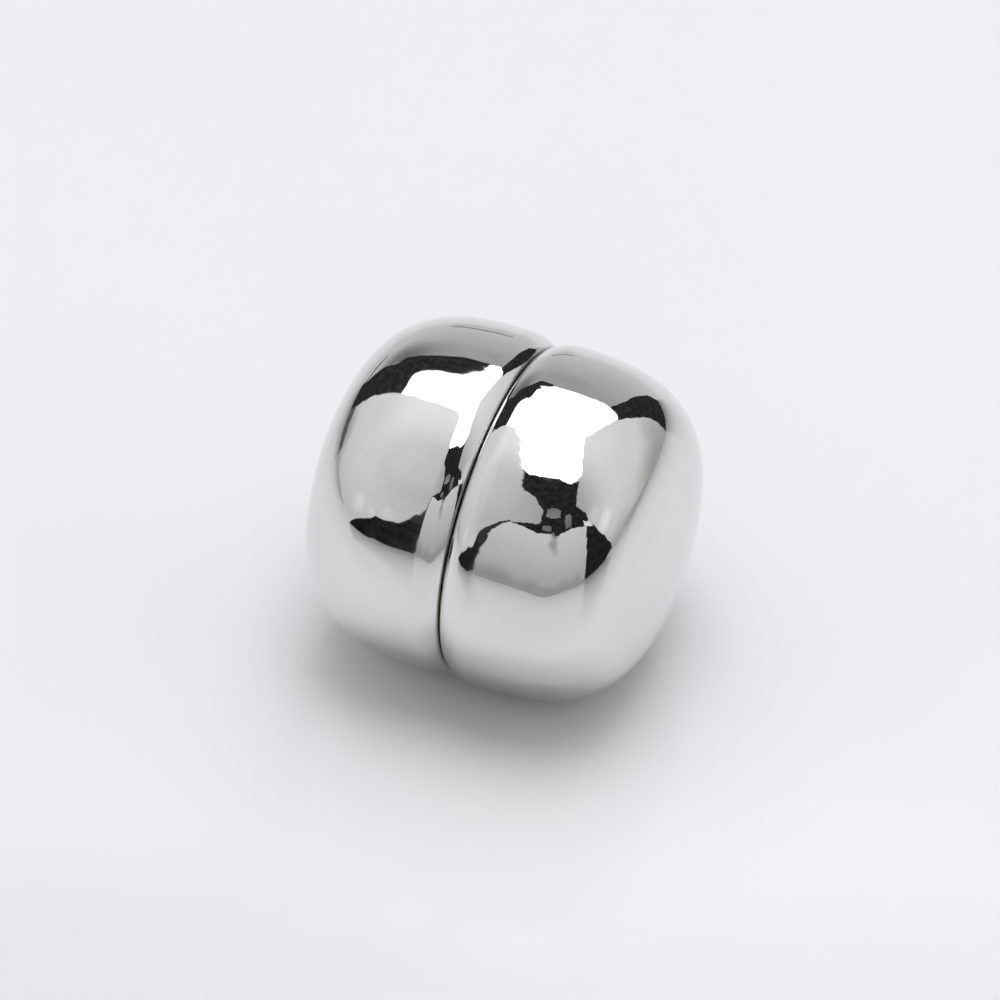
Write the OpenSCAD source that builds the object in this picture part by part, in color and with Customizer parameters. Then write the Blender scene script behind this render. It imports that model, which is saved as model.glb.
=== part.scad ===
// Magnetic scarf pin: two domed metal halves that close face to face over the cloth.
// A disc magnet sits in a pocket in the seam face of each half and holds the two together.
// The closed barrel lies on its side: its axis runs along X, the seam is the plane x = 0,
// and z = 0 is the surface that it rests on. The front half is the one on the +X side.

/* [Barrel] */
// Diameter of the widest ring of each half
barrel_d = 12; // [11:0.5:20]
// Length of one half, from its seam face to the tip of its dome
half_l = 6.03; // [5:0.01:12]
// Gap between the two seam faces of the closed barrel
seam_gap = 0.06; // [0.04:0.01:0.3]

/* [Dome] */
// Squareness of the dome's end: 2 is an ellipse, more makes the end flatter
end_squareness = 2.65; // [2:0.05:4]
// Squareness of the dome's side: 2 is an ellipse, more keeps the side straighter
side_squareness = 3.55; // [2.4:0.05:5]

/* [Rim] */
// Distance from the seam face to the widest ring
belly_l = 0.95; // [0.6:0.05:1.6]
// How far the rim at the seam face lies inside the widest ring
rim_inset = 0.35; // [0.1:0.01:0.4]
// Radius that softens the edge between the rim and the seam face
rim_edge_r = 0.22; // [0.04:0.01:0.3]

/* [Magnet] */
// Diameter of the disc magnet
magnet_d = 9; // [6:0.1:9.5]
// Thickness of the disc magnet
magnet_t = 3; // [1:0.1:3.5]
// Chamfer on both edges of the disc magnet
magnet_chamfer = 0.2; // [0.05:0.05:0.4]
// How far the magnet's face lies below the seam face
magnet_recess = 0.2; // [0.1:0.05:0.5]
// Clearance between the magnet and its pocket, at the wall and at the floor
pocket_clearance = 0.05; // [0.03:0.01:0.15]

/* [Hidden] */

// Facets of each circle, and steps along each stretch of the outline
round_facets = 96;
edge_steps = 3;
belly_steps = 6;
dome_steps = 30;

// Heading of each half on the axis of the barrel: at 0 its dome points along -X, at 180 along +X
front_heading = 180;
back_heading = 0;

barrel_r = barrel_d / 2;
pocket_r = magnet_d / 2 + pocket_clearance;
pocket_depth = magnet_recess + magnet_t + pocket_clearance;

// The belly is an arc that is level at the widest ring and reaches the seam face inset by rim_inset
belly_r = (pow(rim_inset, 2) + pow(belly_l, 2)) / (2 * rim_inset);
// The edge's arc is tangent to the seam face and meets the belly's arc at this angle
belly_angle = asin((belly_l - rim_edge_r) / (belly_r - rim_edge_r));
edge_centre_r = barrel_r - belly_r + (belly_r - rim_edge_r) * cos(belly_angle);

cap_color = [0.83, 0.83, 0.84];
magnet_color = [0.62, 0.61, 0.59];

// Each outline point is [distance from the axis, height above the seam face]
function edge_point(turn) = [
    edge_centre_r + rim_edge_r * cos(turn),
    rim_edge_r - rim_edge_r * sin(turn)
];

function belly_point(turn) = [
    barrel_r - belly_r + belly_r * cos(turn),
    belly_l - belly_r * sin(turn)
];

function dome_point(turn) = [
    barrel_r * pow(cos(turn), 2 / side_squareness),
    belly_l + (half_l - belly_l) * pow(sin(turn), 2 / end_squareness)
];

// Outline of a solid half: along the seam face, round its edge, over the belly and the dome to the tip
function cap_outline() = concat(
    [[0, 0]],
    [for (i = [0 : edge_steps - 1]) edge_point(90 - (90 - belly_angle) * i / edge_steps)],
    [for (i = [0 : belly_steps - 1]) belly_point(belly_angle * (1 - i / belly_steps))],
    [for (i = [0 : dome_steps - 1]) dome_point(90 * i / dome_steps)],
    [[0, half_l]]
);

// Lays a half that stands on its seam face onto the axis of the barrel, its dome turned to the heading
module on_axis(heading) {
    translate([0, 0, barrel_r])
        rotate([0, -90, heading])
            translate([0, 0, seam_gap / 2])
                children();
}

// Solid dome with a blind pocket for the magnet in its seam face
module cap() {
    difference() {
        rotate_extrude($fn = round_facets)
            polygon(cap_outline());
        translate([0, 0, -pocket_depth])
            cylinder(h = 2 * pocket_depth, r = pocket_r, $fn = round_facets);
    }
}

// Disc with chamfered edges, its outer face just below the seam face
module magnet() {
    magnet_r = magnet_d / 2;
    translate([0, 0, magnet_recess])
        rotate_extrude($fn = round_facets)
            polygon([
                [0, 0],
                [magnet_r - magnet_chamfer, 0],
                [magnet_r, magnet_chamfer],
                [magnet_r, magnet_t - magnet_chamfer],
                [magnet_r - magnet_chamfer, magnet_t],
                [0, magnet_t]
            ]);
}

module front_cap() {
    color(cap_color) on_axis(front_heading) cap();
}

module front_magnet() {
    color(magnet_color) on_axis(front_heading) magnet();
}

module back_cap() {
    color(cap_color) on_axis(back_heading) cap();
}

module back_magnet() {
    color(magnet_color) on_axis(back_heading) magnet();
}

front_cap();
front_magnet();
back_cap();
back_magnet();
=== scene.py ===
import math

import bmesh
import bpy
from mathutils import Matrix, Vector, noise


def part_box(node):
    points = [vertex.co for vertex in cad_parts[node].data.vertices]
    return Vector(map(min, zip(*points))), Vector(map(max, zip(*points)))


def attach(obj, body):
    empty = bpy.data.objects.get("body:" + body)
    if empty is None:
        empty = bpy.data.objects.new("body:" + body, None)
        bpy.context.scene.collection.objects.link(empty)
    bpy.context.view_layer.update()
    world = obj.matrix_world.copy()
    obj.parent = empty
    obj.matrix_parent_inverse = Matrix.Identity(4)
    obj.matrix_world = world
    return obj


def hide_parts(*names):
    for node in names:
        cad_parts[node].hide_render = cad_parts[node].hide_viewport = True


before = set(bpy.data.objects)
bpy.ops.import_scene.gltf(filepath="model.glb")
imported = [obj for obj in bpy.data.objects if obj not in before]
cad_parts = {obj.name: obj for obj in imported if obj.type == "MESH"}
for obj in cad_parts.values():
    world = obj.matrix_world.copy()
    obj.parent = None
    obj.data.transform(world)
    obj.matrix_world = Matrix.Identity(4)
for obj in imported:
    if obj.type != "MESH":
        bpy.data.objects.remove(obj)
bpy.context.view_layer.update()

mm = 0.001
cloudBand = (0.35, 0.65)  # where most of a noise node's values lie
wideBand = (0.3, 0.7)     # the same with the rarer ones
print("scarf pin: construction loaded")

# Measures that the construction already holds
capLow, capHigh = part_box("front_cap")
magnetLow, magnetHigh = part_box("front_magnet")
axisHeight = capHigh.z / 2  # the barrel lies on z = 0
barrelCentre = Vector((0, 0, axisHeight))
seamHalfGap = capLow.x


# Shapes turned about the barrel's axis

turning = {
    "onAxis": 1e-7,    # metres, a ring smaller than this closes to one point
    "sharpAngle": 32,  # degrees, shallower edges are shaded smooth
}


def arcPoints(centre, radius, startAngle, endAngle, steps):
    # [along the axis, away from the axis] round a centre, angles from the outward direction to the tip
    points = []
    for i in range(steps + 1):
        angle = math.radians(startAngle + (endAngle - startAngle) * i / steps)
        points.append((centre[0] + radius * math.sin(angle), centre[1] + radius * math.cos(angle)))
    return points


def turnProfile(name, stretches, side, around):
    # stretches is a list of (finish, points); side is 1 for the front half and -1 for the back half
    shape = bmesh.new()
    lastRing = None
    for finishIndex, (finish, points) in enumerate(stretches):
        for along, out in points:
            x = side * (seamHalfGap + along)
            if out < turning["onAxis"]:
                ring = [shape.verts.new((x, 0, axisHeight))]
            else:
                ring = []
                for i in range(around):
                    turn = 2 * math.pi * i / around
                    ring.append(shape.verts.new((x, out * math.sin(turn), axisHeight + out * math.cos(turn))))
            if lastRing:
                for i in range(around):
                    corners = [lastRing[i % len(lastRing)], lastRing[(i + 1) % len(lastRing)],
                               ring[(i + 1) % len(ring)], ring[i % len(ring)]]
                    face = shape.faces.new(list(dict.fromkeys(corners)))
                    face.material_index = finishIndex
                    face.smooth = True
            lastRing = ring
    bmesh.ops.recalc_face_normals(shape, faces=shape.faces)
    mesh = bpy.data.meshes.new(name)
    shape.to_mesh(mesh)
    shape.free()
    for finish, points in stretches:
        mesh.materials.append(finish)
    mesh.set_sharp_from_angle(angle=math.radians(turning["sharpAngle"]))
    piece = bpy.data.objects.new(name, mesh)
    bpy.context.scene.collection.objects.link(piece)
    return piece


# Materials

def startMaterial(name):
    material = bpy.data.materials.new(name)
    material.use_nodes = True
    nodes = material.node_tree.nodes
    nodes.clear()
    output = nodes.new("ShaderNodeOutputMaterial")
    shader = nodes.new("ShaderNodeBsdfPrincipled")
    material.node_tree.links.new(shader.outputs[0], output.inputs[0])
    return material, nodes, material.node_tree.links, shader


def millimetreCoordinates(nodes, links, stretch=(1, 1, 1)):
    # texture space that follows the piece, one unit to the millimetre
    coordinates = nodes.new("ShaderNodeTexCoord")
    mapping = nodes.new("ShaderNodeMapping")
    mapping.inputs["Scale"].default_value = [s / mm for s in stretch]
    links.new(coordinates.outputs["Object"], mapping.inputs["Vector"])
    return mapping.outputs["Vector"]


def addNoise(nodes, links, vector, scale, detail=2, roughness=0.5):
    texture = nodes.new("ShaderNodeTexNoise")
    texture.inputs["Scale"].default_value = scale
    texture.inputs["Detail"].default_value = detail
    texture.inputs["Roughness"].default_value = roughness
    links.new(vector, texture.inputs["Vector"])
    return texture.outputs["Fac"]


def addRange(nodes, links, value, fromRange, toRange, blend="LINEAR"):
    spread = nodes.new("ShaderNodeMapRange")
    spread.interpolation_type = blend
    spread.inputs["From Min"].default_value = fromRange[0]
    spread.inputs["From Max"].default_value = fromRange[1]
    spread.inputs["To Min"].default_value = toRange[0]
    spread.inputs["To Max"].default_value = toRange[1]
    links.new(value, spread.inputs["Value"])
    return spread.outputs["Result"]


def multiply(nodes, links, first, second):
    product = nodes.new("ShaderNodeMath")
    product.operation = "MULTIPLY"
    for socket, value in zip(product.inputs, (first, second)):
        if isinstance(value, (int, float)):
            socket.default_value = value
        else:
            links.new(value, socket)
    return product.outputs[0]


def addTones(nodes, links, value, tones):
    ramp = nodes.new("ShaderNodeValToRGB")
    for stop, tone, position in zip(ramp.color_ramp.elements, tones, cloudBand):
        stop.color = (*tone, 1)
        stop.position = position
    links.new(value, ramp.inputs["Fac"])
    return ramp.outputs["Color"]


def addBump(nodes, links, height, depth, before=None):
    # depth is in metres
    bump = nodes.new("ShaderNodeBump")
    bump.inputs["Distance"].default_value = depth
    links.new(height, bump.inputs["Height"])
    if before:
        links.new(before, bump.inputs["Normal"])
    return bump.outputs["Normal"]


polish = {
    "tones": [(0.736, 0.740, 0.730), (0.750, 0.754, 0.744)],  # plating, faintly cloudy
    "roughness": (0.02, 0.05),
    "cloudScale": 0.5,     # clouds to the millimetre, here and below
    "waveSize": 1.6,       # mm, slow waves left by the polishing wheel
    "waveDepth": 1.8e-6,
    "peelSize": 0.35,      # mm, the plating's own fine unevenness
    "peelDepth": 0.25e-6,
    "seamShadeTone": (0.42, 0.42, 0.41),  # painted shade in the groove of the seam, where the metal is also rougher
    "seamShadeReach": (0.03, 0.12),       # mm from the seam's middle, full and gone
    "seamRoughness": 0.25,
}


def makePolishedPlate():
    material, nodes, links, shader = startMaterial("polishedPlate")
    vector = millimetreCoordinates(nodes, links)
    cloud = addNoise(nodes, links, vector, polish["cloudScale"], detail=3)
    waves = addNoise(nodes, links, vector, 1 / polish["waveSize"], detail=1)
    peel = addNoise(nodes, links, vector, 1 / polish["peelSize"], detail=2)
    shader.inputs["Metallic"].default_value = 1
    place = nodes.new("ShaderNodeSeparateXYZ")
    links.new(vector, place.inputs[0])
    away = nodes.new("ShaderNodeMath")
    away.operation = "ABSOLUTE"
    links.new(place.outputs["X"], away.inputs[0])
    # painted shade: the plating darkens towards the seam's groove
    seamShade = addRange(nodes, links, away.outputs[0], polish["seamShadeReach"], (1, 0), "SMOOTHSTEP")
    toned = nodes.new("ShaderNodeMix")
    toned.data_type = "RGBA"
    toned.inputs["B"].default_value = (*polish["seamShadeTone"], 1)
    links.new(seamShade, toned.inputs["Factor"])
    links.new(addTones(nodes, links, cloud, polish["tones"]), toned.inputs["A"])
    links.new(toned.outputs["Result"], shader.inputs["Base Color"])
    shine = nodes.new("ShaderNodeMix")
    shine.inputs["B"].default_value = polish["seamRoughness"]
    links.new(seamShade, shine.inputs["Factor"])
    links.new(addRange(nodes, links, cloud, cloudBand, polish["roughness"]), shine.inputs["A"])
    links.new(shine.outputs["Result"], shader.inputs["Roughness"])
    slow = addBump(nodes, links, waves, polish["waveDepth"])
    links.new(addBump(nodes, links, peel, polish["peelDepth"], slow), shader.inputs["Normal"])
    return material


turnedFace = {
    "tones": [(0.68, 0.69, 0.67), (0.76, 0.77, 0.74)],
    "roughness": (0.22, 0.36),
    "cloudScale": 1.4,
    "ringPitch": 0.09,     # mm between the lathe's fine rings
    "ringUnit": 0.314,     # mm between rings where the wave node's scale is 1
    "ringWander": 0.4,
    "ringDepth": 1.5e-6,
}


def makeTurnedFace():
    material, nodes, links, shader = startMaterial("turnedFace")
    vector = millimetreCoordinates(nodes, links)
    centred = nodes.new("ShaderNodeVectorMath")
    centred.operation = "SUBTRACT"
    centred.inputs[1].default_value = (0, 0, axisHeight / mm)
    links.new(vector, centred.inputs[0])
    rings = nodes.new("ShaderNodeTexWave")
    rings.wave_type = "RINGS"
    rings.rings_direction = "X"
    rings.inputs["Scale"].default_value = turnedFace["ringUnit"] / turnedFace["ringPitch"]
    rings.inputs["Distortion"].default_value = turnedFace["ringWander"]
    links.new(centred.outputs[0], rings.inputs["Vector"])
    cloud = addNoise(nodes, links, vector, turnedFace["cloudScale"], detail=4, roughness=0.6)
    shader.inputs["Metallic"].default_value = 1
    links.new(addTones(nodes, links, cloud, turnedFace["tones"]), shader.inputs["Base Color"])
    links.new(addRange(nodes, links, cloud, wideBand, turnedFace["roughness"]), shader.inputs["Roughness"])
    links.new(addBump(nodes, links, rings.outputs["Fac"], turnedFace["ringDepth"]), shader.inputs["Normal"])
    return material


pocketWall = {
    "tones": [(0.26, 0.26, 0.25), (0.40, 0.40, 0.38)],  # thin plating and set glue
    "roughness": (0.35, 0.6),
    "cloudScale": 2.2,
    "lumpDepth": 4e-6,
}


def makePocketWall():
    material, nodes, links, shader = startMaterial("pocketWall")
    vector = millimetreCoordinates(nodes, links)
    cloud = addNoise(nodes, links, vector, pocketWall["cloudScale"], detail=4, roughness=0.6)
    shader.inputs["Metallic"].default_value = 1
    links.new(addTones(nodes, links, cloud, pocketWall["tones"]), shader.inputs["Base Color"])
    links.new(addRange(nodes, links, cloud, wideBand, pocketWall["roughness"]), shader.inputs["Roughness"])
    links.new(addBump(nodes, links, cloud, pocketWall["lumpDepth"]), shader.inputs["Normal"])
    return material


nickel = {
    "tones": [(0.56, 0.545, 0.51), (0.64, 0.625, 0.585)],
    "roughness": (0.2, 0.34),
    "cloudScale": 0.8,
    "grainSize": 0.12,     # mm, the tumbled skin of the sintered disc
    "grainDepth": 1.6e-6,
    "scuffScale": 1.5,
    "scuffStretch": (1, 0.35, 6),
}


def makeNickel():
    material, nodes, links, shader = startMaterial("satinNickel")
    vector = millimetreCoordinates(nodes, links)
    cloud = addNoise(nodes, links, vector, nickel["cloudScale"], detail=4, roughness=0.6)
    grain = addNoise(nodes, links, vector, 1 / nickel["grainSize"], detail=3)
    drawnOut = millimetreCoordinates(nodes, links, nickel["scuffStretch"])
    scuffs = addNoise(nodes, links, drawnOut, nickel["scuffScale"], detail=2)
    shader.inputs["Metallic"].default_value = 1
    links.new(addTones(nodes, links, cloud, nickel["tones"]), shader.inputs["Base Color"])
    links.new(addRange(nodes, links, scuffs, wideBand, nickel["roughness"]), shader.inputs["Roughness"])
    links.new(addBump(nodes, links, grain, nickel["grainDepth"]), shader.inputs["Normal"])
    return material


polishedPlate = makePolishedPlate()
turnedMetal = makeTurnedFace()
pocketMetal = makePocketWall()
satinNickel = makeNickel()
print("scarf pin: materials made")


# The two polished halves

cap = {
    "radius": (capHigh.y - capLow.y) / 2,
    "length": capHigh.x - capLow.x,
    "endSquareness": 2.65,     # 2 is an ellipse, more makes the end flatter
    "sideSquareness": 3.55,    # 2 is an ellipse, more keeps the side straighter
    "bellyLength": 0.95 * mm,  # seam face to the widest ring
    "rimInset": 0.35 * mm,     # how far the rim lies inside the widest ring
    "rimEdge": 0.22 * mm,      # rounding of the rim
    "faceGrowth": 0.02 * mm,   # plating that brings the seam faces this much closer
    "mouthEdge": 0.06 * mm,    # small bevel at the mouth of the pocket
    "pocketRadius": 4.55 * mm,
    "pocketDepth": 3.25 * mm,
    "around": 384,             # steps round the axis
    "edgeSteps": 14,           # steps along the rim's rounding, the belly and the dome
    "bellySteps": 24,
    "domeSteps": 150,
}


def capStretches():
    radius = cap["radius"]
    growth = cap["faceGrowth"]
    belly = cap["bellyLength"] + growth
    length = cap["length"] + growth
    bellyRadius = (cap["rimInset"] ** 2 + belly ** 2) / (2 * cap["rimInset"])
    bellyAngle = math.degrees(math.asin((belly - cap["rimEdge"]) / (bellyRadius - cap["rimEdge"])))
    edgeOut = radius - bellyRadius + (bellyRadius - cap["rimEdge"]) * math.cos(math.radians(bellyAngle))
    mouth = cap["pocketRadius"]
    floorDepth = cap["pocketDepth"] + growth
    pocket = [
        (floorDepth, 0),
        (floorDepth, mouth / 2),
        (floorDepth, mouth),
        (cap["mouthEdge"], mouth),
    ]
    face = [
        (0, mouth + cap["mouthEdge"]),
        (0, (mouth + edgeOut) / 2),
        (0, edgeOut),
    ]
    outside = arcPoints((cap["rimEdge"], edgeOut), cap["rimEdge"], -90, -bellyAngle, cap["edgeSteps"])[1:]
    outside += arcPoints((belly, radius - bellyRadius), bellyRadius, -bellyAngle, 0, cap["bellySteps"])[1:]
    for i in range(1, cap["domeSteps"] + 1):
        turn = math.pi / 2 * i / cap["domeSteps"]
        along = belly + (length - belly) * math.sin(turn) ** (2 / cap["endSquareness"])
        out = radius * max(math.cos(turn), 0) ** (2 / cap["sideSquareness"])
        outside.append((along, out if i < cap["domeSteps"] else 0))
    stretches = [(pocketMetal, pocket), (turnedMetal, face), (polishedPlate, outside)]
    return [(finish, [(along - growth, out) for along, out in points]) for finish, points in stretches]


def makeCap(name, side, node, body):
    piece = turnProfile(name, capStretches(), side, cap["around"])
    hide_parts(node)
    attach(piece, body)


makeCap("frontCapPolished", 1, "front_cap", "front_half")
makeCap("backCapPolished", -1, "back_cap", "back_half")
print("scarf pin: polished halves turned")


# The two disc magnets

magnet = {
    "radius": (magnetHigh.y - magnetLow.y) / 2,
    "recess": magnetLow.x - capLow.x,
    "thickness": magnetHigh.x - magnetLow.x,
    "edge": 0.2 * mm,
    "around": 192,
    "edgeSteps": 8,
}


def magnetStretches():
    radius, edge = magnet["radius"], magnet["edge"]
    near, far = magnet["recess"], magnet["recess"] + magnet["thickness"]
    points = [(near, 0), (near, (radius - edge) / 2)]
    points += arcPoints((near + edge, radius - edge), edge, -90, 0, magnet["edgeSteps"])
    points += arcPoints((far - edge, radius - edge), edge, 0, 90, magnet["edgeSteps"])
    points += [(far, 0)]
    return [(satinNickel, points)]


def makeMagnet(name, side, node, body):
    piece = turnProfile(name, magnetStretches(), side, magnet["around"])
    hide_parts(node)
    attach(piece, body)


makeMagnet("frontMagnetDisc", 1, "front_magnet", "front_half")
makeMagnet("backMagnetDisc", -1, "back_magnet", "back_half")
print("scarf pin: magnets made")


# Camera

photoView = {
    "azimuth": 20.47,          # degrees from straight in front, towards +X
    "elevation": 41.9,         # degrees above the floor
    "roll": 3.8,               # degrees that the camera leans
    "distance": 600 * mm,
    "fieldWidth": 33.68 * mm,  # what the frame takes in at the barrel
    "frame": 1000,             # pixels, the frame is square
    "seamAt": (504.8, 508.7),  # pixel where the middle of the barrel falls
    "sensor": 36,
    "clip": (10 * mm, 3),      # metres, nearest and farthest that the camera sees
}


def placeCamera():
    azimuth = math.radians(photoView["azimuth"])
    elevation = math.radians(photoView["elevation"])
    back = Vector((math.sin(azimuth) * math.cos(elevation), -math.cos(azimuth) * math.cos(elevation),
                   math.sin(elevation)))
    level = Vector((math.cos(azimuth), math.sin(azimuth), 0))
    rise = back.cross(level)
    roll = math.radians(photoView["roll"])
    right = math.cos(roll) * level + math.sin(roll) * rise
    up = math.cos(roll) * rise - math.sin(roll) * level
    perPixel = photoView["fieldWidth"] / photoView["frame"]
    middle = photoView["frame"] / 2
    target = barrelCentre - (photoView["seamAt"][0] - middle) * perPixel * right
    target += (photoView["seamAt"][1] - middle) * perPixel * up
    lens = bpy.data.cameras.new("photoCamera")
    lens.sensor_width = photoView["sensor"]
    lens.lens = lens.sensor_width * photoView["distance"] / photoView["fieldWidth"]
    lens.clip_start, lens.clip_end = photoView["clip"]
    camera = bpy.data.objects.new("photoCamera", lens)
    turn = Matrix((right, up, back)).transposed().to_4x4()
    camera.matrix_world = Matrix.Translation(target + back * photoView["distance"]) @ turn
    bpy.context.scene.collection.objects.link(camera)
    bpy.context.scene.camera = camera


placeCamera()
print("scarf pin: camera placed")


# Floor

floorFinish = {
    "radius": 560 * mm,
    "steps": 96,
    "tones": [(0.800, 0.787, 0.788), (0.808, 0.795, 0.796)],
    "cloudScale": 0.05,
    "roughness": (0.12, 0.16),
    "gloss": 0.2,
    "falloff": (9, 17, 0.94),      # painted shade: mm towards the camera where the floor's darkening starts and ends, and how dark it gets
    "footShadowCentre": (2.0, -4.9, 0),  # mm, painted shadow on the floor at the barrel's foot, which only the metal's reflection shows
    "footShadowStretch": (0.88, 1.4, 1),
    "footShadowSize": (0.5, 7.5),        # mm, full and gone
    "footShadowTone": 0.69,
}


def makeFloor():
    shape = bmesh.new()
    bmesh.ops.create_circle(shape, cap_ends=True, segments=floorFinish["steps"], radius=floorFinish["radius"])
    mesh = bpy.data.meshes.new("studioFloor")
    shape.to_mesh(mesh)
    shape.free()
    floor = bpy.data.objects.new("studioFloor", mesh)
    bpy.context.scene.collection.objects.link(floor)
    material, nodes, links, shader = startMaterial("paleFloor")
    vector = millimetreCoordinates(nodes, links)
    cloud = addNoise(nodes, links, vector, floorFinish["cloudScale"], detail=3)
    turn = math.radians(photoView["azimuth"])
    towards = nodes.new("ShaderNodeVectorMath")
    towards.operation = "DOT_PRODUCT"
    towards.inputs[1].default_value = (math.sin(turn), -math.cos(turn), 0)
    links.new(vector, towards.inputs[0])
    # painted shade: the floor's colour darkens towards the camera
    start, end, dimmed = floorFinish["falloff"]
    near = addRange(nodes, links, towards.outputs["Value"], (start, end), (1, dimmed), "SMOOTHSTEP")
    # painted shadow at the barrel's foot, seen only in the metal's reflection
    stretch = floorFinish["footShadowStretch"]
    away = nodes.new("ShaderNodeVectorMath")
    away.operation = "DISTANCE"
    away.inputs[1].default_value = [place * scale for place, scale in zip(floorFinish["footShadowCentre"], stretch)]
    links.new(millimetreCoordinates(nodes, links, stretch), away.inputs[0])
    footShadowTones = (floorFinish["footShadowTone"], 1)
    foot = addRange(nodes, links, away.outputs["Value"], floorFinish["footShadowSize"], footShadowTones, "SMOOTHSTEP")
    mirrored = nodes.new("ShaderNodeMix")  # painted shadow at the foot for glossy rays only: the metal mirrors it, the camera sees the floor evenly
    mirrored.inputs["A"].default_value = 1
    links.new(nodes.new("ShaderNodeLightPath").outputs["Is Glossy Ray"], mirrored.inputs["Factor"])
    links.new(foot, mirrored.inputs["B"])
    toned = nodes.new("ShaderNodeVectorMath")
    toned.operation = "SCALE"
    links.new(addTones(nodes, links, cloud, floorFinish["tones"]), toned.inputs[0])
    links.new(multiply(nodes, links, near, mirrored.outputs["Result"]), toned.inputs["Scale"])
    links.new(toned.outputs[0], shader.inputs["Base Color"])
    links.new(addRange(nodes, links, cloud, wideBand, floorFinish["roughness"]), shader.inputs["Roughness"])
    shader.inputs["Specular IOR Level"].default_value = floorFinish["gloss"]
    mesh.materials.append(material)


makeFloor()


# Light tent: a glowing dome and the cards in it, which light the floor and show in the polished metal.
# Corners are (azimuth, elevation) in degrees round the barrel, 0 being straight away from the camera
# and 90 to its right. A card's reach is in mm, and its glow is its brightness at the foot and the top.

tent = {
    "reach": 320 * mm,
    "lowest": -5,  # degrees, the cloth's hem
    "step": 5,     # degrees between its corners
    # (elevation, brightness) of the tent's cloth from the floor to the top
    "glow": [(-4, 0.60), (4, 0.66), (20, 0.76), (45, 0.82), (65, 0.86), (90, 0.88)],
    "cloudSize": 14 * mm,      # of the faint clouding of cloth and cards
    "cloudBand": (0.3, 0.8),
    "mottle": (0.97, 1.06),
    # soft patches on the cloth: (azimuth, elevation, inner and outer size in degrees, change of brightness)
    "patches": [
        (-52, 66, 4, 46, 1.20),
        (55, 68, 3, 30, 1.05),
        (-166, 46, 4, 64, 0.68),
        (160, 45, 4, 46, 0.70),
        (-129, 47, 3, 18, 1.13),
        (-66, 44, 2, 20, 0.92),
        (53, 18, 2, 14, 0.84),
        (-113, 9, 0.5, 9, 1.17),
        (75, 6, 4, 20, 0.93),
        (-124, 10, 0.5, 5, 1.12),
        (-133, 15, 0.5, 6, 1.12),
        (133, 37, 1, 9, 1.16),
        (121, 24, 2, 10, 1.22),
        (113, 10, 0.5, 9, 1.09),
        (-62, 3, 2, 16, 0.66),
        (62, -5, 4, 36, 0.62),
        (112, -8, 4, 30, 0.70),
    ],
}

darkMottle = (0.45, 2.3)  # black cloth is patchier
gentleCut = 0.35          # share of the usual waver, for a cleaner edge

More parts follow.
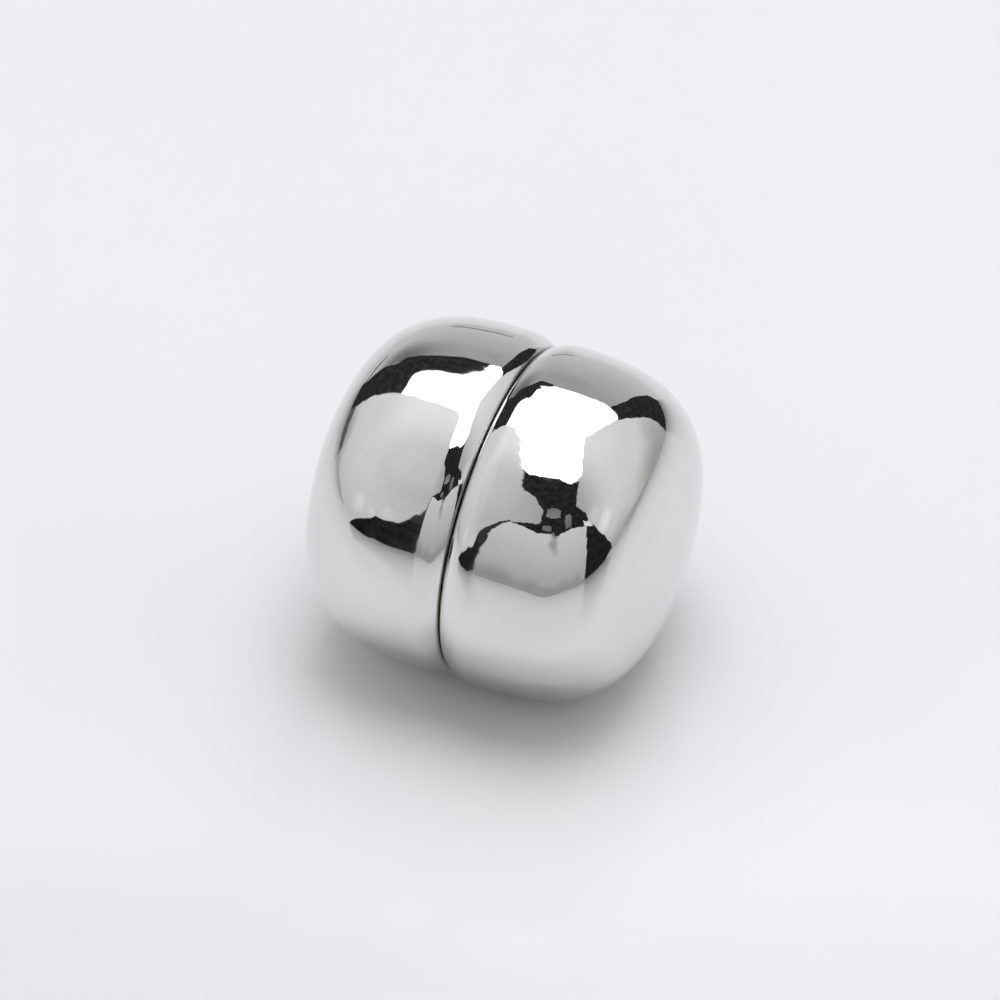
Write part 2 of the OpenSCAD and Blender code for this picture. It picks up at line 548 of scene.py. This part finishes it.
cards = {
    "topWhite": {
        "reach": 316, "glow": (4.1, 4.5), "tint": (1, 1, 1.07),
        "corners": [(-180, 71.5), (-165, 71), (-150, 70), (-139, 68), (-128, 69), (-117, 73), (-96, 76),
                    (-69, 76.3), (-51, 74.5), (-45, 70), (0, 68), (50, 71), (69, 75), (109, 74),
                    (120, 70.5), (131, 68), (145, 67), (155, 67), (165, 69.5), (175, 72), (180, 71.5),
                    (180, 90), (90, 90), (0, 90), (-90, 90), (-180, 90)],
    },
    "softbox": {
        "reach": 312, "glow": (1.9, 2.1), "tint": (1, 1, 1.07),
        "corners": [(-52, 46), (-50, 44), (-45, 42), (-37, 39), (-28, 39), (-20, 41), (-8, 41), (3, 41),
                    (30, 41), (44, 42), (46, 53), (48, 62), (51, 70), (51, 76), (-50, 76), (-51, 70),
                    (-53, 62), (-53, 53)],
    },
    "backPanel": {
        "reach": 306, "glow": (0.66, 0.40),
        "patches": [(-29, 23, 2, 22, 0.40), (-12, 28, 1, 13, 0.84), (7, 31, 1, 9, 0.90)],
        "corners": [(-41, -3), (-39, 4), (-35, 12), (-34, 18), (-30, 24), (-25, 26), (-19, 32), (-15, 35),
                    (-10, 36.5), (0, 38.5), (4, 41), (15, 42), (30, 41.5), (33, 40), (33, 20), (32, 6),
                    (34, -3)],
    },
    "backLeftDark": {
        "reach": 300, "glow": (0.022, 0.026), "mottle": darkMottle,
        "corners": [(-47, -3), (-49, 0), (-52, 8), (-53, 18), (-53, 38), (-52, 48), (-48, 48),
                    (-45, 47.5), (-41, 46), (-37, 44.5), (-32, 43.5), (-28, 44.5), (-24, 47), (-18, 49),
                    (-14, 52), (-10, 53), (-6, 51.5), (-2, 47), (0, 43), (3, 41), (3, 39.5), (0, 38.5),
                    (-5, 37.5), (-10, 36.5), (-15, 35), (-19, 32), (-22, 29), (-25, 26), (-27, 24),
                    (-30, 24), (-32, 22), (-34, 18), (-35, 12), (-37, 8), (-39, 4), (-38, -3)],
    },
    "rightStrip": {
        "reach": 300, "glow": (0.020, 0.024), "mottle": darkMottle,
        "corners": [(31, -3), (30, 0), (29, 4), (29, 10), (29.5, 18), (31, 24), (32, 28), (31.5, 36),
                    (31, 41), (35, 41.5), (40, 41), (43, 42.5), (45, 43), (45, 38), (45.5, 32), (46, 26),
                    (46, 20), (47, 12), (48, 7), (50, 3), (51, 0), (51, -2), (45, -3)],
    },
    "frontFlap": {
        "reach": 306, "glow": (0.42, 0.72),
        "patches": [(176.5, 35.5, 0.8, 5, 0.3), (177.5, 29, 0.8, 6, 0.6), (175.5, 24, 0.5, 5, 0.8),
                    (192, -5, 2, 14, 0.74), (165, -5, 2, 14, 0.78), (209, -2, 2, 14, 0.72),
                    (178, -3, 1, 7, 0.88), (153, 0, 1, 9, 0.8)],
        "corners": [(141, -3), (141, 33), (145, 34), (150, 35.5), (154, 36.5), (163, 37), (176, 37),
                    (190, 37), (203, 38), (211, 36.5), (214, 32), (216, 25), (217, 18), (216, 10),
                    (216, -3), (190, -3), (165, -3)],
    },
    "frontDark": {
        "reach": 300, "glow": (0.016, 0.019), "mottle": darkMottle,
        "corners": [(232, 69), (223, 66), (219, 61), (214, 58), (208, 58), (202, 57), (198, 54),
                    (194, 51.5), (191, 49), (192, 41), (199, 40), (204, 39), (211, 36.5), (203, 37),
                    (198, 36), (193, 35), (186, 35.5), (181, 35), (178.5, 37), (176, 34), (170, 35.5),
                    (164, 36.5), (157, 36.5), (150, 35.5), (142, 33), (140, 37), (141.5, 42), (146, 46),
                    (152, 50), (149, 57), (144, 62), (138, 65), (147, 67), (155, 67), (165, 69.5),
                    (175, 72), (181, 71), (197, 71), (212, 70), (221, 68)],
    },
    "frontGreyHigh": {
        "reach": 294, "glow": (0.28, 0.20),
        "corners": [(172, 46), (172, 50), (177, 52), (183, 52.5), (187, 51), (188, 47), (186, 45.5),
                    (178, 45.5)],
    },
    "frontGreyLow": {
        "reach": 294, "glow": (0.16, 0.24),
        "corners": [(159.5, 38), (159, 45), (162, 47), (166, 46.5), (167, 43), (166, 38)],
    },
    "frontGreyFoot": {
        "reach": 294, "glow": (0.16, 0.22),
        "corners": [(181, 37.5), (181, 40), (185, 41), (189, 40), (189, 37.5), (185, 36.5)],
    },
    "frontGlint": {
        "reach": 294, "glow": (0.9, 0.9),
        "corners": [(146.5, 38), (138, 34), (135, 29), (143.5, 33.5)],
    },
    "frontRightWedge": {
        "reach": 300, "glow": (0.013, 0.016), "mottle": darkMottle,
        "corners": [(113.5, 1), (117.5, 7.5), (122, 14), (125.5, 18), (130, 24), (134, 29.5), (139, 34.5),
                    (142, 33), (143, 20), (143, 11), (143, -2), (135, -2), (121, -1)],
    },
    "frontLeftWedge": {
        "reach": 300, "glow": (0.013, 0.016), "mottle": darkMottle, "cut": gentleCut,
        "corners": [(215, -4), (215, 24), (218, 22), (218.5, 18), (221, 13), (227, 10.5), (232, 10),
                    (235, 6.5), (242, 2), (246, -4)],
    },
    # The Foot cards are painted shade: darker strips along the foot of the walls, the flap and the front
    # wedge, where they meet the floor.
    "wedgeFoot": {
        "reach": 95, "glow": (0.013, 0.016), "mottle": darkMottle,
        "corners": [(215, -1.2), (218, -1.5), (223.5, -2.2), (228.5, -2.8), (234, -4), (248, -4.2),
                    (246.5, -1.3), (244.5, 1), (241, 3.5), (236, 3), (216, 3)],
    },
    "flapFoot": {
        "reach": 136, "glow": (0.33, 0.36), "cut": gentleCut,
        "corners": [(143, -3), (143, 0.3), (150, 0.3), (214, 0.3), (214, -3)],
    },
    "flapFootNear": {
        "reach": 70, "glow": (0.35, 0.36), "cut": gentleCut,
        "corners": [(163, -1.6), (172, -3.6), (178, -5), (184, -4.8), (192, -2.8), (202, -1.6),
                    (199, -0.4), (166, -0.4)],
    },
    "flapEdge": {
        "reach": 298, "glow": (0.04, 0.04), "cut": gentleCut,
        "corners": [(210.5, 37), (213.4, 34), (215.3, 28), (215.3, 17), (218, 17), (216.8, 28),
                    (214.8, 34), (211.2, 37.8)],
    },
    "leftFootNear": {
        "reach": 302, "glow": (0.11, 0.13),
        "corners": [(-48, -2), (-48, 7), (-55, 6), (-63, 4.5), (-68, 3), (-68, -2)],
    },
    "leftFootFar": {
        "reach": 302, "glow": (0.38, 0.52),
        "corners": [(-68, -2), (-68, 3), (-78, 2.5), (-90, 1.5), (-100, 0), (-100, -2)],
    },
    "rightFoot": {
        "reach": 302, "glow": (0.34, 0.58),
        "corners": [(48, -2), (48, 3), (60, 2), (75, 1.5), (86, 3), (95, 4.5), (108, 6.5), (113, 4),
                    (108, 3), (95, -2)],
    },
    "panelFootMiddle": {
        "reach": 302, "glow": (0.14, 0.18),
        "corners": [(-4, -0.7), (-4, 0.6), (0, 1.4), (3, 2.4), (6, 1.2), (6, -0.4), (3, 0.7), (0, 0)],
    },
    "panelFoot": {
        "reach": 302, "glow": (0.1, 0.12),
        "corners": [(-41, -0.5), (-40, 2), (-34, 4), (-27, 3.5), (-27, 2), (-34, 1.5)],
    },
}


cardCut = {
    "pitch": 5.0,           # degrees between one waver of a card's edge and the next
    "depth": 0.75,          # degrees
    "quick": 3.1,           # times as many small wavers
    "fine": 0.6,            # their share of the depth
    "starts": (17.7, 4.4),  # where the two directions are read from the noise
    "narrowest": 0.2,       # keeps the waver small near the top of the tent
    "cuts": 8,              # corners added along each edge
}


def tentPoint(azimuth, elevation, reach):
    turn = math.radians(azimuth - photoView["azimuth"])
    rise = math.radians(elevation)
    way = Vector((math.sin(turn) * math.cos(rise), math.cos(turn) * math.cos(rise), math.sin(rise)))
    return barrelCentre + reach * way


def makeGlow(name, reach, stops, patches, mottle, tint=(1, 1, 1)):
    # stops are (height above the barrel's centre, brightness)
    material = bpy.data.materials.new(name)
    material.use_nodes = True
    nodes, links = material.node_tree.nodes, material.node_tree.links
    nodes.clear()
    output = nodes.new("ShaderNodeOutputMaterial")
    emission = nodes.new("ShaderNodeEmission")
    coordinates = nodes.new("ShaderNodeTexCoord")
    split = nodes.new("ShaderNodeSeparateXYZ")
    curve = nodes.new("ShaderNodeFloatCurve")
    links.new(coordinates.outputs["Object"], split.inputs[0])
    low, high = stops[0][0], stops[-1][0]
    peak = max(brightness for height, brightness in stops)
    unit = addRange(nodes, links, split.outputs["Z"], (low, high), (0, 1))
    links.new(unit, curve.inputs["Value"])
    points = curve.mapping.curves[0].points
    while len(points) < len(stops):
        points.new(0.5, 0.5)
    for point, (height, brightness) in zip(points, stops):
        point.location = ((height - low) / (high - low), brightness / peak)
        point.handle_type = "AUTO_CLAMPED"
    curve.mapping.update()
    glow = multiply(nodes, links, curve.outputs[0], peak)
    for azimuth, elevation, inner, outer, change in patches:
        centre = tentPoint(azimuth, elevation, reach) - barrelCentre
        away = nodes.new("ShaderNodeVectorMath")
        away.operation = "DISTANCE"
        away.inputs[1].default_value = centre
        links.new(coordinates.outputs["Object"], away.inputs[0])
        sizes = [reach * math.radians(size) for size in (inner, outer)]
        fade = addRange(nodes, links, away.outputs["Value"], sizes, (change, 1), "SMOOTHERSTEP")
        glow = multiply(nodes, links, glow, fade)
    cloudy = addNoise(nodes, links, coordinates.outputs["Object"], 1 / tent["cloudSize"],
                      detail=4, roughness=0.6)
    glow = multiply(nodes, links, glow, addRange(nodes, links, cloudy, tent["cloudBand"], mottle))
    emission.inputs["Color"].default_value = (*tint, 1)
    links.new(glow, emission.inputs["Strength"])
    links.new(emission.outputs[0], output.inputs[0])
    material.cycles.emission_sampling = "NONE"
    return material


def waver(place):
    return Vector([noise.noise(place + Vector((0, 0, start))) for start in cardCut["starts"]])


def wobble(azimuth, elevation, cut):
    # hand-cut edges: the same small waver for neighbours, so they stay joined
    narrowing = math.cos(math.radians(elevation))
    place = Vector((azimuth * narrowing, elevation, 0)) / cardCut["pitch"]
    sway = (waver(place) + waver(place * cardCut["quick"]) * cardCut["fine"]) * cardCut["depth"] * cut
    return azimuth + sway.x / max(narrowing, cardCut["narrowest"]), elevation + sway.y


def makeTentSheet(name, shape, reach, material, cut):
    # the sheet is drawn flat, in degrees, and then wrapped round the barrel
    for corner in shape.verts:
        azimuth, elevation = wobble(corner.co.x, corner.co.y, cut)
        corner.co = tentPoint(azimuth, elevation, reach) - barrelCentre
    mesh = bpy.data.meshes.new(name)
    shape.to_mesh(mesh)
    shape.free()
    mesh.materials.append(material)
    sheet = bpy.data.objects.new(name, mesh)
    sheet.location = barrelCentre
    sheet.visible_camera = False
    sheet.visible_shadow = False
    bpy.context.scene.collection.objects.link(sheet)


def makeTent():
    shape = bmesh.new()
    step = tent["step"]
    rows = []
    for elevation in range(tent["lowest"], 90 + step, step):
        rows.append([shape.verts.new((azimuth, elevation, 0)) for azimuth in range(0, 360 + step, step)])
    for lower, upper in zip(rows, rows[1:]):
        for i in range(len(lower) - 1):
            shape.faces.new((lower[i], lower[i + 1], upper[i + 1], upper[i]))
    stops = [(tent["reach"] * math.sin(math.radians(elevation)), glow) for elevation, glow in tent["glow"]]
    cloth = makeGlow("tentClothGlow", tent["reach"], stops, tent["patches"], tent["mottle"])
    makeTentSheet("tentCloth", shape, tent["reach"], cloth, 0)


def makeCard(name, card):
    shape = bmesh.new()
    shape.faces.new([shape.verts.new((azimuth, elevation, 0)) for azimuth, elevation in card["corners"]])
    bmesh.ops.triangulate(shape, faces=shape.faces)
    bmesh.ops.subdivide_edges(shape, edges=shape.edges, cuts=cardCut["cuts"], use_grid_fill=True)
    reach = card["reach"] * mm
    heights = [reach * math.sin(math.radians(elevation)) for azimuth, elevation in card["corners"]]
    stops = [(min(heights), card["glow"][0]), (max(heights), card["glow"][1])]
    glow = makeGlow(name + "Glow", reach, stops, card.get("patches", ()), card.get("mottle", tent["mottle"]),
                    card.get("tint", (1, 1, 1)))
    makeTentSheet(name, shape, reach, glow, card.get("cut", 1))


# A weak lamp over the camera, which lifts the floor's shadow and stays out of the reflections
fill = {
    "azimuth": 180,
    "elevation": 50,
    "reach": 300 * mm,
    "size": 200 * mm,
    "watts": 0.06,
}


def makeFill():
    light = bpy.data.lights.new("fillLamp", "AREA")
    light.shape = "DISK"
    light.size = fill["size"]
    light.energy = fill["watts"]
    lamp = bpy.data.objects.new("fillLamp", light)
    lamp.location = tentPoint(fill["azimuth"], fill["elevation"], fill["reach"])
    lamp.rotation_euler = (lamp.location - barrelCentre).to_track_quat("Z", "Y").to_euler()
    lamp.visible_camera = False
    lamp.visible_glossy = False
    bpy.context.scene.collection.objects.link(lamp)


makeTent()
makeFill()
for cardName, cardSizes in cards.items():
    makeCard(cardName, cardSizes)
print("scarf pin: tent and cards hung")


# The room behind the floor, which only the camera sees
room = {"tone": (0.871, 0.855, 0.896)}
world = bpy.data.worlds.new("paleRoom")
world.use_nodes = True
world.node_tree.nodes["Background"].inputs["Color"].default_value = (*room["tone"], 1)
world.cycles_visibility.diffuse = False
world.cycles_visibility.glossy = False
world.cycles.sampling_method = "NONE"
bpy.context.scene.world = world
bpy.context.scene.view_settings.view_transform = "Standard"
print("scarf pin: lights set")
